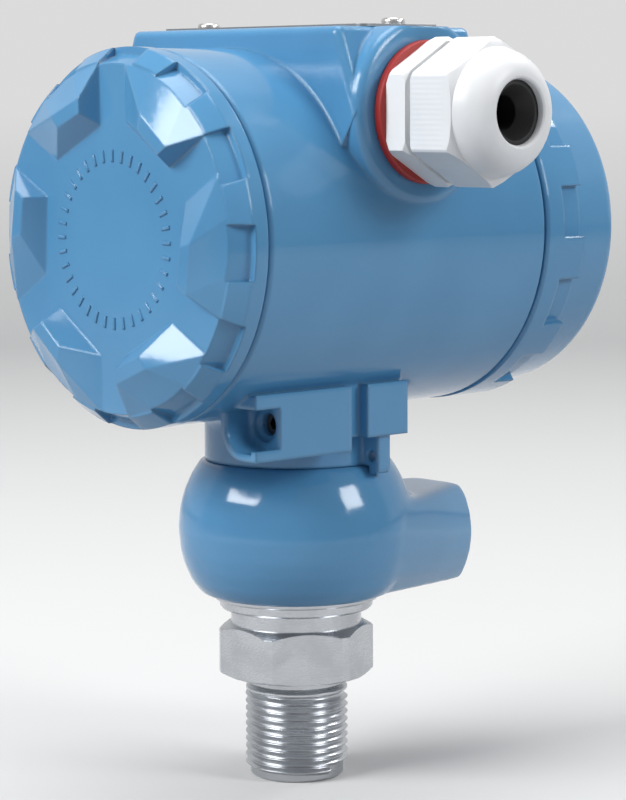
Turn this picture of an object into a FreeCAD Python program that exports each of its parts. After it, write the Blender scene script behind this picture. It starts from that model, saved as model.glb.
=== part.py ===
import FreeCAD, Part
import math
import os

from FreeCAD import Rotation, Vector

# Pressure transmitter: a steel process connection carries a cast sensor head, and a
# two-compartment housing turns on that head. A blind cover closes the terminal side,
# a windowed cover closes the display side, and a cable gland enters from the right.
# Millimetres. The origin is the centre of the process thread's end face, +Z runs up
# the thread axis, the blind cover faces -Y and the cable gland points to +X.

# Clearances
running_gap = 0.05
face_gap = 0.3
seat_gap = 0.02

# Process connection, one turned bar
thread_radius = 10.0
thread_length = 17.6
thread_chamfer = 1.2
port_radius = 3.0
relief_depth = 0.8
relief_length = 3.5
hex_across_flats = 27.0
hex_height = 9.1
hex_turn = -3.0
shoulder_radius = 12.7
shoulder_height = 3.0
collar_radius = 16.2
collar_exposed = 2.8
collar_sunk = 1.5
stem_radius = 13.0
stem_length = 14.5
floor_over_port = 2.0

# Sensor capsule and what holds it
capsule_radius = 9.5
capsule_height = 9.0
capsule_groove_depth = 1.3
seal_section = 0.8
lock_ring_radius = 11.0
lock_ring_height = 2.6
lock_ring_bore = 6.5
capsule_pin_radius = 0.4
capsule_pin_length = 6.0
capsule_pin_circle = 4.0

# Sensor head, one casting: ball, bracket tail and the spigot that the housing turns on
ball_radius = 22.8
ball_equator = 49.0
ball_curve_radius = 21.5
ball_foot_fillet = 4.0
head_top = 62.2
tail_reach = 40.0
tail_root_half_height = 10.8
tail_tip_half_height = 9.7
tail_middle = 44.3
tail_flat_half_width = 6.3
tail_bulge = 3.4
tail_edge_fillet = 0.8
tail_root_fillet = 3.5
tail_relief_radius = 18.0
bracket_hole_radius = 3.4
bracket_hole_depth = 12.0
spigot_radius = 14.5
spigot_height = 9.6
spigot_bore = 10.0
neck_seal_drop = 1.8
neck_seal_section = 1.0
lock_groove_drop = 4.8
lock_groove_width = 3.6
lock_groove_depth = 1.2

# Housing barrel
barrel_radius = 34.6
barrel_front = 36.8
barrel_rear = 33.6
barrel_wall = 4.8
mouth_wall = 2.6
mouth_depth = 9.0
mouth_chamfer = 0.6
bulkhead_front = 10.5
bulkhead_thickness = 3.5
wire_passage_radius = 2.5

# Housing neck
neck_radius = 17.6
neck_length = 9.1
neck_fillet = 3.0
lock_screw_radius = 1.5
lock_screw_tip_gap = 0.2

# Conduit block across the top of the barrel
block_front = 16.0
block_width = 34.0
block_rise = 15.5
block_end_slope = 5.5
block_edge_fillet = 1.4
entry_sink = 11.8
entry_face_inset = 0.1
entry_rim_fillet = 1.6
entry_thread_radius = 10.0

# Cover-lock brackets under the barrel
bracket_face = 23.0
bracket_inner = 13.4
bracket_hang = 5.3
bracket_height = 12.2
bracket_front = 30.4
bracket_slot_front = 6.7
bracket_slot_rear = 2.6
bracket_slot_depth = 2.4
bracket_rear = 7.8
bracket_step = 2.2
bracket_wall = 1.3
pocket_depth = 5.9
pocket_head_room = 2.6
lock_hole_x = 18.6
lock_hole_rise = 6.1
lock_hole_radius = 2.1
lock_hole_depth = 14.0
lock_hole_counterbore = 3.2
seal_lug_width = 3.0
seal_lug_reach = 22.0
seal_lug_drop = 1.5
seal_lug_hole = 1.1

# Covers, both screwed into the barrel
cover_overhang = 0.2
spigot_length = 8.0
cover_wall = 3.4
cover_chamfer = 0.5
cover_seal_section = 0.9
cover_seal_seat = 1.9
recess_count = 12
recess_angle = 16.3
recess_depth = 1.4
front_land = 3.6
front_recess_turn = -2.0
front_recess_lean = 0.42
blind_disc_height = 7.4
blind_disc_thickness = 4.0
blind_taper_depth = 2.5
blind_taper_length = 3.2
lug_count = 6
lug_height = 3.8
lug_inner = 20.0
lug_lean = 0.4
valley_half_width = 3.7
lug_rim_inset = 0.15
lug_rim_half_angle = 9.0
lug_top_inner = 22.7
lug_top_width = 2.6
lug_top_spread = 1.0
lug_top_clockwise = 7.4
lug_top_length = 7.0
lug_top_turn = 8.0
rear_land = 5.0
rear_recess_turn = -5.7
rear_recess_length = 5.7
rear_drum_step = 1.5
rear_drum_taper = 1.2
rear_depth = 23.1
rear_rim_round = 3.0

# Window of the rear cover
window_land = 5.5
window_bevel = 1.6
window_lip = 3.6
gasket_thickness = 0.8
glass_gap = 0.15
glass_thickness = 5.0
window_ring_height = 3.0
window_ring_width = 3.5
window_ring_notch = 3.0

# Inside the display compartment
board_gap = 3.8
board_thickness = 1.6
board_standoff = 7.0
board_screw_inset = 5.0
display_gap = 3.0
display_depth = 9.0
display_standoff = 12.0
display_wall = 1.6
display_window_width = 32.0
display_window_height = 16.0
display_glass_margin = 1.5
display_glass_thickness = 2.0
standoff_radius = 2.6
small_screw_radius = 1.2
small_screw_length = 4.0
small_screw_head_radius = 2.2
small_screw_head_height = 1.4
processor_side = 10.0
processor_thickness = 1.6
converter_length = 8.0
converter_thickness = 2.4
memory_side = 5.0
connector_length = 18.0
connector_width = 4.0
connector_height = 6.0
chip_offset = 7.0

# Inside the terminal compartment
terminal_width = 38.0
terminal_height = 18.0
terminal_depth = 11.0
terminal_step = 4.5
terminal_count = 3
terminal_pitch = 9.0
terminal_drop = 6.0
terminal_rib = 1.2
terminal_mount_spacing = 32.0
terminal_screw_radius = 1.6
terminal_screw_length = 4.0
terminal_head_radius = 2.9
terminal_head_height = 1.8
ground_screw_x = 12.0
ground_screw_drop = 20.0
ground_screw_length = 5.0
ground_screw_radius = 2.0
ground_head_radius = 3.6
ground_head_height = 2.4
ground_washer_radius = 4.6
ground_washer_thickness = 1.0

# Nameplate
plate_margin = 0.5
plate_width = 20.0
plate_thickness = 0.5
plate_screw_inset = 2.4
plate_screw_head_radius = 2.2
plate_screw_head_height = 1.2
plate_screw_radius = 1.2
plate_screw_length = 4.0

# Cable gland and blanking plug
gland_washer_radius = 13.7
gland_washer_thickness = 1.8
gland_across_flats = 23.4
gland_hex_height = 4.9
gland_shank_length = 9.0
gland_shank_bore = 6.4
gland_waist_radius = 10.6
gland_waist_length = 1.4
gland_barrel_radius = 9.0
gland_barrel_length = 8.0
gland_finger_count = 8
gland_finger_radius = 7.8
gland_finger_length = 4.4
gland_finger_slot = 1.2
gland_seat_bore = 4.6
gland_seat_height = 3.0
gland_nut_hex_height = 6.6
gland_nut_height = 15.4
gland_nut_thread = 9.6
gland_nut_throat = 8.2
gland_nut_throat_depth = 2.6
gland_nut_lip = 1.3
gland_nut_nose_radius = 8.6
gland_nut_hole = 5.8
gland_seal_radius = 6.3
gland_seal_bore = 3.1
gland_seal_mouth = 5.0
gland_seal_mouth_depth = 3.0
plug_head_radius = 13.0
plug_head_height = 3.6
plug_shank_length = 9.0
plug_key_across_flats = 10.0
plug_key_depth = 5.0
plug_seal_section = 0.9
grub_inset = 2.5
grub_length = 8.0

# Directions that a piece's own +Z can be turned to
UP = Rotation()
FRONT = Rotation(Vector(1, 0, 0), 90)
REAR = Rotation(Vector(0, 0, 1), 180).multiply(FRONT)
RIGHT = Rotation(Vector(0, 1, 0), 90)
LEFT = Rotation(Vector(0, 0, 1), 180).multiply(RIGHT)
HALF_TURN = Rotation(Vector(0, 0, 1), 180)


def placed(shape, facing, x=0.0, y=0.0, z=0.0):
    """Turn a piece's own +Z to a direction and carry its origin to a point."""
    moved = shape.copy()
    moved.Placement = FreeCAD.Placement(Vector(x, y, z), facing).multiply(shape.Placement)
    return moved


def disc(radius, low, high, x=0.0, y=0.0):
    """Cylinder about the local Z axis between two heights."""
    return Part.makeCylinder(radius, high - low, Vector(x, y, low))


def tube(outer, inner, low, high):
    return disc(outer, low, high).cut(disc(inner, low - 1, high + 1))


def box(x_low, x_high, y_low, y_high, z_low, z_high):
    size = (x_high - x_low, y_high - y_low, z_high - z_low)
    return Part.makeBox(*size, Vector(x_low, y_low, z_low))


def turned(outline):
    """Solid of revolution about local Z from (radius, height) corners."""
    corners = [Vector(radius, 0, height) for radius, height in outline]
    profile = Part.Face(Part.makePolygon(corners + corners[:1]))
    return profile.revolve(Vector(), Vector(0, 0, 1), 360)


def ring(major, minor, height):
    """Round seal about local Z."""
    return Part.makeTorus(major, minor, Vector(0, 0, height))


def hexagon(across_flats, low, high, turn=0.0):
    """Hexagonal prism with a corner on local +X before it is turned."""
    reach = across_flats / math.sqrt(3)
    corners = [polar(reach, turn + 60 * corner, low) for corner in range(6)]
    return Part.Face(Part.makePolygon(corners + corners[:1])).extrude(Vector(0, 0, high - low))


def polar(radius, angle, height=0.0):
    turn = math.radians(angle)
    return Vector(radius * math.cos(turn), radius * math.sin(turn), height)


def around(shape, count, start=0.0):
    """Copies of a shape spaced evenly about local Z."""
    copies = []
    for number in range(count):
        turn = Rotation(Vector(0, 0, 1), start + 360 * number / count)
        copies.append(placed(shape, turn))
    return copies


def faceted(corners, faces):
    """Closed solid from named corners: flat faces, and four-sided ones that may twist."""
    skins = []
    for face in faces:
        loop = [corners[name] for name in face]
        if len(loop) == 4:
            near = Part.makeLine(loop[0], loop[1])
            far = Part.makeLine(loop[3], loop[2])
            skins.append(Part.makeRuledSurface(near, far))
        else:
            skins.append(Part.Face(Part.makePolygon(loop + loop[:1])))
    shell = Part.makeShell(skins)
    shell.sewShape()
    solid = Part.Solid(shell)
    if solid.Volume < 0:
        solid.reverse()
    return solid


def rounded(shape, radius, chosen):
    """Fillet the edges that a test picks out."""
    edges = [edge for edge in shape.Edges if chosen(edge)]
    return shape.makeFillet(radius, edges)


def save(shape, name):
    shape.exportStep("parts/" + name + ".step")


# ---- Heights that follow from the sizes above

hex_bottom = thread_length + relief_length
hex_top = hex_bottom + hex_height
shoulder_top = hex_top + shoulder_height
head_bottom = shoulder_top + collar_exposed
collar_top = head_bottom + collar_sunk
stem_top = collar_top + stem_length
lock_ring_bottom = stem_top - lock_ring_height
capsule_floor = lock_ring_bottom - capsule_height
port_top = capsule_floor - floor_over_port
neck_bottom = head_top + face_gap
spigot_top = head_top + spigot_height
neck_bore_top = spigot_top + face_gap
barrel_height = neck_bottom + neck_length + barrel_radius
barrel_inner = barrel_radius - barrel_wall
mouth_radius = barrel_radius - mouth_wall
entry_height = barrel_height + barrel_radius - entry_sink
entry_face = barrel_radius - entry_face_inset
block_top = entry_height + block_rise
block_half_length = entry_face - block_end_slope
bracket_bottom = barrel_height - barrel_radius - bracket_hang
bracket_top = bracket_bottom + bracket_height
lock_hole_z = bracket_bottom + lock_hole_rise
seal_lug_bottom = neck_bottom - seal_lug_drop
cover_radius = barrel_radius + cover_overhang
blind_rim_radius = cover_radius - blind_taper_depth
rear_drum_radius = cover_radius - rear_drum_step
bulkhead_rear = bulkhead_front + bulkhead_thickness
outer_ground_y = (bracket_slot_rear - bracket_rear) / 2
outer_ground_z = (bracket_bottom + bracket_step + bracket_top) / 2
block_rear = block_width - block_front
entry_axis = (block_rear - block_front) / 2
lock_screw_height = head_top + lock_groove_drop + lock_groove_width / 2
spigot_outer = mouth_radius - running_gap
spigot_inner = spigot_outer - cover_wall
window_opening = spigot_inner - window_land
window_ring_bore = spigot_inner - window_ring_width
glass_radius = spigot_inner - glass_gap
board_radius = barrel_inner - board_gap
board_screw_circle = board_radius - board_screw_inset
display_radius = spigot_inner - display_gap
plate_length = 2 * (block_half_length - plate_margin)
plate_screw_spacing = plate_length - 2 * plate_screw_inset
window_seat = rear_depth - window_lip
glass_outer_face = window_seat - gasket_thickness
glass_inner_face = glass_outer_face - glass_thickness
board_top = board_standoff + board_thickness
display_back = board_top + display_standoff
display_front = display_back + display_depth
terminal_middle = barrel_height - terminal_drop
plug_seal_radius = (entry_thread_radius + plug_head_radius) / 2
gland_hex_top = gland_washer_thickness + gland_hex_height
gland_barrel_foot = gland_hex_top + gland_waist_length
gland_barrel_top = gland_barrel_foot + gland_barrel_length
gland_nut_foot = gland_barrel_foot + face_gap
gland_nut_top = gland_nut_foot + gland_nut_height


# ---- Process connection and sensor

def make_process_connection():
    outline = [
        (port_radius, 0),
        (thread_radius - thread_chamfer, 0),
        (thread_radius, thread_chamfer),
        (thread_radius, thread_length),
        (thread_radius - relief_depth, thread_length + relief_depth),
        (thread_radius - relief_depth, hex_bottom),
        (shoulder_radius - 2, hex_bottom),
        (shoulder_radius - 2, hex_top),
        (shoulder_radius, hex_top),
        (shoulder_radius, shoulder_top),
        (collar_radius, shoulder_top),
        (collar_radius, collar_top),
        (stem_radius, collar_top),
        (stem_radius, stem_top),
        (lock_ring_radius + running_gap, stem_top),
        (lock_ring_radius + running_gap, lock_ring_bottom),
        (capsule_radius + running_gap, lock_ring_bottom),
        (capsule_radius + running_gap, capsule_floor),
        (capsule_radius - 2, capsule_floor),
        (port_radius, port_top),
    ]
    nut = hexagon(hex_across_flats, hex_bottom, hex_top, hex_turn)
    corner = hex_across_flats / math.sqrt(3)
    drop = (corner - hex_across_flats / 2 + 0.4) * math.tan(math.radians(30))
    chamfered = turned([
        (0, hex_bottom),
        (corner - drop / math.tan(math.radians(30)), hex_bottom),
        (corner, hex_bottom + drop),
        (corner, hex_top - drop),
        (corner - drop / math.tan(math.radians(30)), hex_top),
        (0, hex_top),
    ])
    nut = nut.common(chamfered).cut(disc(shoulder_radius - 2.5, hex_bottom - 1, hex_top + 1))
    return turned(outline).fuse(nut).removeSplitter()


def make_sensor_capsule():
    groove_middle = capsule_height / 2
    groove_half = seal_section + seat_gap
    body = turned([
        (0, 0),
        (capsule_radius, 0),
        (capsule_radius, groove_middle - groove_half),
        (capsule_radius - capsule_groove_depth, groove_middle - groove_half),
        (capsule_radius - capsule_groove_depth, groove_middle + groove_half),
        (capsule_radius, groove_middle + groove_half),
        (capsule_radius, capsule_height),
        (0, capsule_height),
    ])
    pin = disc(capsule_pin_radius, 0, capsule_pin_length, capsule_pin_circle)
    pins = [placed(copy, UP, z=capsule_height) for copy in around(pin, 5)]
    return placed(body.fuse(pins), UP, z=capsule_floor)


def make_sensor_seal():
    height = capsule_floor + capsule_height / 2
    return ring(capsule_radius - capsule_groove_depth / 2, capsule_groove_depth / 2 - seat_gap, height)


def make_sensor_lock_ring():
    blank = tube(lock_ring_radius, lock_ring_bore, lock_ring_bottom + seat_gap, stem_top)
    slot = box(-lock_ring_radius, lock_ring_radius, -1, 1, stem_top - 1, stem_top + 1)
    return blank.cut(slot)


# ---- Sensor head

def ball_profile_radius(height):
    """Radius of the ball's side at a height."""
    rise = height - ball_equator
    return ball_radius - ball_curve_radius + math.sqrt(ball_curve_radius ** 2 - rise ** 2)


def make_ball():
    foot_radius = ball_profile_radius(head_bottom)
    top_radius = ball_profile_radius(head_top)
    foot = Vector(foot_radius, 0, head_bottom)
    top = Vector(top_radius, 0, head_top)
    side = Part.Arc(foot, Vector(ball_radius, 0, ball_equator), top).toShape()
    lines = Part.makePolygon([top, Vector(0, 0, head_top), Vector(0, 0, head_bottom), foot])
    profile = Part.Face(Part.Wire([side] + lines.Edges))
    ball = profile.revolve(Vector(), Vector(0, 0, 1), 360)
    return rounded(ball, ball_foot_fillet, lambda edge: is_circle_at(edge, head_bottom, foot_radius))


def is_circle_at(edge, height, radius):
    flat = abs(edge.BoundBox.ZMin - height) < 0.01 and abs(edge.BoundBox.ZMax - height) < 0.01
    return flat and abs(edge.BoundBox.XMax - radius) < 0.01


def tail_section(y, half_height):
    """Barrel-sided section of the tail: flat top and foot, sides bowed outward."""
    half = tail_flat_half_width
    low = tail_middle - half_height
    high = tail_middle + half_height
    right = Part.Arc(Vector(half, y, low), Vector(half + tail_bulge, y, tail_middle), Vector(half, y, high))
    left = Part.Arc(Vector(-half, y, high), Vector(-half - tail_bulge, y, tail_middle), Vector(-half, y, low))
    top = Part.LineSegment(Vector(half, y, high), Vector(-half, y, high))
    foot = Part.LineSegment(Vector(-half, y, low), Vector(half, y, low))
    return Part.Wire([right.toShape(), top.toShape(), left.toShape(), foot.toShape()])


def make_sensor_head():
    sections = [tail_section(0, tail_root_half_height + 1.0), tail_section(tail_reach, tail_tip_half_height)]
    tail = Part.makeLoft(sections, True, True)
    tail = rounded(tail, tail_edge_fillet, lambda edge: edge.BoundBox.YMax > tail_reach - 0.01)
    head = make_ball().fuse(tail)
    junction = [edge for edge in head.Edges if is_tail_root(edge)]
    head = head.makeFillet(tail_root_fillet, junction)
    head = head.fuse(make_head_spigot())
    head = head.cut(disc(tail_relief_radius, head_bottom - 2 * tail_root_fillet, head_bottom))
    head = head.cut(disc(collar_radius + running_gap, head_bottom - 1, collar_top))
    head = head.cut(disc(stem_radius + running_gap, collar_top - 1, stem_top + face_gap))
    head = head.cut(disc(spigot_bore, stem_top, spigot_top + 1))
    hole = disc(bracket_hole_radius, 0, bracket_hole_depth + 1)
    head = head.cut(placed(hole, FRONT, y=tail_reach + 1, z=tail_middle))
    return head.removeSplitter()


def is_tail_root(edge):
    """An edge where the tail runs into the ball, clear of the ball's own rims."""
    bounds = edge.BoundBox
    inside = bounds.YMin > 8 and bounds.YMax < ball_radius + 3
    return inside and bounds.ZMax < head_top - 1 and bounds.ZMin > head_bottom - 1


def make_head_spigot():
    seal_top = head_top + neck_seal_drop + 2 * neck_seal_section
    groove_floor = spigot_radius - 2 * neck_seal_section + running_gap
    groove_low = head_top + lock_groove_drop
    return turned([
        (spigot_bore, head_top - 4),
        (spigot_radius, head_top - 4),
        (spigot_radius, seal_top - 2 * neck_seal_section - seat_gap),
        (groove_floor, seal_top - 2 * neck_seal_section - seat_gap),
        (groove_floor, seal_top + seat_gap),
        (spigot_radius, seal_top + seat_gap),
        (spigot_radius, groove_low),
        (spigot_radius - lock_groove_depth, groove_low),
        (spigot_radius - lock_groove_depth, groove_low + lock_groove_width),
        (spigot_radius, groove_low + lock_groove_width),
        (spigot_radius, spigot_top),
        (spigot_bore, spigot_top),
    ])


def make_neck_seal():
    middle = head_top + neck_seal_drop + neck_seal_section
    return ring(spigot_radius - neck_seal_section + running_gap, neck_seal_section - seat_gap, middle)


# ---- Housing

def bracket_outline(inset=0.0):
    """U-shaped end of a lock bracket, seen along its length, walls set in evenly."""
    left = bracket_inner + inset
    right = bracket_face - inset
    low = bracket_bottom + inset
    corner = (bracket_face - bracket_inner) / 2 + 1.0 - inset
    start = Vector(left, 0, low + corner)
    end = Vector(left + corner, 0, low)
    middle = Vector(left + corner, 0, low + corner) + Vector(-corner, 0, -corner) * math.sqrt(0.5)
    curve = Part.Arc(start, middle, end).toShape()
    rest = Part.makePolygon([end, Vector(right, 0, low), Vector(right, 0, bracket_top),
                             Vector(left, 0, bracket_top), start])
    return Part.Face(Part.Wire([curve] + rest.Edges))


def make_bracket():
    """Lock bracket under the barrel, its pocket and screw hole facing -Y."""
    plate = bracket_outline().extrude(Vector(0, bracket_front - bracket_slot_front, 0))
    plate.translate(Vector(0, -bracket_front, 0))
    web = box(bracket_inner, bracket_face - bracket_slot_depth, -bracket_front + pocket_depth + 1,
              bracket_rear, bracket_bottom + bracket_step, bracket_top)
    end_block = box(bracket_inner, bracket_face, -bracket_slot_rear, bracket_rear,
                    bracket_bottom + bracket_step, bracket_top)
    bracket = plate.fuse([web, end_block])
    pocket = bracket_outline(bracket_wall).extrude(Vector(0, pocket_depth + 1, 0))
    pocket.translate(Vector(0, -bracket_front - 1, 0))
    head_room = box(0, 2 * bracket_face, -bracket_front - 2, 0, bracket_top - pocket_head_room, 2 * bracket_top)
    notch = box(bracket_face - 2 * bracket_wall, bracket_face + 1, -bracket_front - 1,
                -bracket_front + pocket_depth, bracket_bottom + 1.5 * bracket_wall,
                bracket_top - pocket_head_room)
    floor = -bracket_front + pocket_depth
    counterbore = disc(lock_hole_counterbore, 0, 1.2)
    counterbore = placed(counterbore, FRONT, x=lock_hole_x, y=floor + 1.2, z=lock_hole_z)
    return bracket.cut([pocket.cut(head_room), notch, counterbore])


def make_lock_hole():
    hole = disc(lock_hole_radius, 0, lock_hole_depth + 1)
    return placed(hole, FRONT, x=lock_hole_x, y=-bracket_front + pocket_depth + lock_hole_depth, z=lock_hole_z)


def make_seal_lug():
    """Small lug beside the neck, drilled for a lead-seal wire."""
    middle = bracket_rear - (bracket_rear + bracket_slot_rear) / 2
    low = middle - seal_lug_width / 2
    lug = box(neck_radius - 2, seal_lug_reach, low, low + seal_lug_width, seal_lug_bottom, bracket_top)
    lug = rounded(lug, 1.4, lambda edge: edge.BoundBox.ZMax < seal_lug_bottom + 0.01
                  and edge.BoundBox.XMin > seal_lug_reach - 0.01)
    lug = lug.cut(disc(ball_profile_radius(seal_lug_bottom) + face_gap, seal_lug_bottom - 1, neck_bottom))
    hole = disc(seal_lug_hole, 0, seal_lug_width + 2)
    hole = placed(hole, FRONT, x=(neck_radius + seal_lug_reach) / 2 + 0.3, y=low + seal_lug_width + 1,
                  z=seal_lug_bottom + 3.4)
    return lug.cut(hole)


def make_conduit_block():
    """Block across the barrel's top, with a round boss at each conduit entry."""
    boss_radius = block_width / 2
    slope_foot = entry_height + 2.0
    half = [
        Vector(block_half_length, -block_front, block_top),
        Vector(entry_face - 0.6, -block_front, slope_foot),
        Vector(entry_face - 0.6, -block_front, entry_height),
        Vector(barrel_radius * 0.6, -block_front, barrel_height),
    ]
    mirrored = [Vector(-point.x, point.y, point.z) for point in reversed(half)]
    loop = half + mirrored
    block = Part.Face(Part.makePolygon(loop + loop[:1])).extrude(Vector(0, block_width, 0))
    block = rounded(block, block_edge_fillet, lambda edge: edge.BoundBox.ZMax > block_top - 0.01)
    boss = disc(boss_radius, -entry_face, entry_face)
    boss = rounded(boss, entry_rim_fillet, lambda edge: len(edge.Vertexes) == 1)
    boss = placed(boss, RIGHT, y=entry_axis, z=entry_height)
    above = box(-2 * entry_face, 2 * entry_face, -block_width, block_width, block_top, 2 * block_top)
    return block.fuse(boss.cut(above))


def make_barrel():
    barrel = disc(barrel_radius, -barrel_rear, barrel_front)
    barrel = placed(barrel, FRONT, z=barrel_height)
    neck = disc(neck_radius, neck_bottom, barrel_height)
    body = barrel.fuse(neck)
    seam = [edge for edge in body.Edges if edge.BoundBox.ZMax < barrel_height - barrel_radius / 2
            and edge.BoundBox.ZMin > neck_bottom + 1 and edge.BoundBox.YLength > neck_radius / 2
            and edge.BoundBox.YLength < 2.2 * neck_radius]
    return body.makeFillet(neck_fillet, seam)


def make_housing_body():
    body = make_barrel().fuse(make_conduit_block())
    bracket = make_bracket()
    twin = placed(bracket, HALF_TURN)
    body = body.fuse([bracket, twin, make_seal_lug()]).removeSplitter()
    front_room = placed(disc(barrel_inner, -bulkhead_front, barrel_front + 1), FRONT, z=barrel_height)
    rear_room = placed(disc(barrel_inner, bulkhead_rear, barrel_rear + 1), REAR, z=barrel_height)
    rim = mouth_radius + mouth_chamfer
    mouth = turned([
        (0, mouth_depth),
        (mouth_radius, mouth_depth),
        (mouth_radius, mouth_chamfer),
        (rim, 0),
        (rim, -1),
        (0, -1),
    ])
    front_mouth = placed(mouth, REAR, y=-barrel_front, z=barrel_height)
    rear_mouth = placed(mouth, FRONT, y=barrel_rear, z=barrel_height)
    outer_bevel = turned([
        (barrel_radius + 1, -1),
        (barrel_radius + 1, mouth_chamfer),
        (barrel_radius, mouth_chamfer),
        (barrel_radius - mouth_chamfer, 0),
        (barrel_radius - mouth_chamfer, -1),
    ])
    front_bevel = placed(outer_bevel, REAR, y=-barrel_front, z=barrel_height)
    rear_bevel = placed(outer_bevel, FRONT, y=barrel_rear, z=barrel_height)
    neck_bore = disc(spigot_radius + running_gap, neck_bottom - 1, neck_bore_top)
    entry = disc(entry_thread_radius + seat_gap, barrel_radius / 2, entry_face + 1)
    right_entry = placed(entry, RIGHT, y=entry_axis, z=entry_height)
    left_entry = placed(entry, LEFT, y=entry_axis, z=entry_height)
    passage_start = Vector(0, spigot_bore - wire_passage_radius, neck_bore_top - 2)
    passage_end = Vector(0, bulkhead_rear + 6, barrel_height - barrel_inner + 4)
    passage_way = passage_end - passage_start
    passage = Part.makeCylinder(wire_passage_radius, passage_way.Length, passage_start, passage_way)
    body = body.cut([front_room, rear_room, front_mouth, rear_mouth, front_bevel, rear_bevel])
    body = body.cut([neck_bore, right_entry, left_entry, passage])
    lock_hole = make_lock_hole()
    body = body.cut([lock_hole, placed(lock_hole, HALF_TURN), make_screw_drillings()])
    return body


def make_screw_drillings():
    """Tapped holes of the small screws that the housing carries."""
    neck_hole = disc(lock_screw_radius, spigot_radius - 2, neck_radius + 1)
    holes = [placed(neck_hole, REAR, z=lock_screw_height)]
    holes += [make_plate_screw(side) for side in (-1, 1)]
    holes += [make_terminal_mount_screw(side) for side in (-1, 1)]
    holes += [make_board_standoff(number) for number in range(3)]
    holes += [make_inner_ground_screw(), make_outer_ground_screw()]
    return holes[0].fuse(holes[1:])


# ---- Small screws

def pan_screw(radius, length, head_radius, head_height):
    """Cross-recessed screw: its head stands on local z = 0 and its shank goes down."""
    head = disc(head_radius, 0, head_height)
    head = rounded(head, head_height * 0.6, lambda edge: edge.BoundBox.ZMin > head_height - 0.01)
    bar = box(-head_radius * 0.6, head_radius * 0.6, -0.3, 0.3, head_height * 0.4, head_height + 1)
    cross = bar.fuse(placed(bar, Rotation(Vector(0, 0, 1), 90)))
    return head.fuse(disc(radius, -length, 0)).removeSplitter().cut(cross)


def grub_screw(radius, length):
    """Socket set screw: its outer end is at local z = 0."""
    socket = hexagon(radius, -length * 0.4, 1)
    return disc(radius, -length, 0).cut(socket)


def make_housing_lock_screw():
    tip = spigot_radius - lock_groove_depth + lock_screw_tip_gap
    outer = math.sqrt(neck_radius ** 2 - lock_screw_radius ** 2) - face_gap
    return placed(grub_screw(lock_screw_radius, outer - tip), REAR, y=outer, z=lock_screw_height)


def make_cover_lock_screws():
    screw = grub_screw(lock_hole_radius, grub_length)
    outer = -bracket_front + pocket_depth + grub_inset
    front = placed(screw, FRONT, x=lock_hole_x, y=outer, z=lock_hole_z)
    return Part.makeCompound([front, placed(front, HALF_TURN)])


def make_plate_screw(side):
    screw = pan_screw(plate_screw_radius, plate_screw_length, plate_screw_head_radius, plate_screw_head_height)
    return placed(screw, UP, x=side * plate_screw_spacing / 2, y=entry_axis, z=block_top + plate_thickness)


def make_nameplate():
    plate = box(-plate_length / 2, plate_length / 2, entry_axis - plate_width / 2, entry_axis + plate_width / 2,
                block_top, block_top + plate_thickness)
    plate = rounded(plate, 2.0, lambda edge: edge.BoundBox.ZLength > plate_thickness * 0.9)
    return plate.cut([make_plate_screw(-1), make_plate_screw(1)])


# ---- Covers, modelled about local Z: the joint with the barrel is z = 0, outward is +Z

def cover_outline_inside(floor):
    """Inner wall, spigot and seal groove, from the cover's floor out to its flange."""
    groove_low = -cover_seal_seat - cover_seal_section - seat_gap
    groove_high = -cover_seal_seat + cover_seal_section + seat_gap
    groove_floor = mouth_radius - 2 * cover_seal_section
    return [
        (spigot_inner, floor),
        (spigot_inner, -spigot_length),
        (spigot_outer - cover_chamfer, -spigot_length),
        (spigot_outer, -spigot_length + cover_chamfer),
        (spigot_outer, groove_low),
        (groove_floor, groove_low),
        (groove_floor, groove_high),
        (spigot_outer, groove_high),
        (spigot_outer, face_gap),
        (cover_radius - cover_chamfer, face_gap),
        (cover_radius, face_gap + cover_chamfer),
    ]


def make_recesses(low, high, turn, lean=0.0):
    """Castellations of a cover's skirt, their floors leaning inward as they go out."""
    half_width = cover_radius * math.sin(math.radians(recess_angle / 2))
    floor = cover_radius - recess_depth
    band = turned([
        (floor, low),
        (cover_radius + 1, low),
        (cover_radius + 1, high),
        (floor - lean * (high - low), high),
    ])
    cutter = band.common(box(0, 2 * cover_radius, -half_width, half_width, low - 1, high + 1))
    return around(cutter, recess_count, turn)


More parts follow.
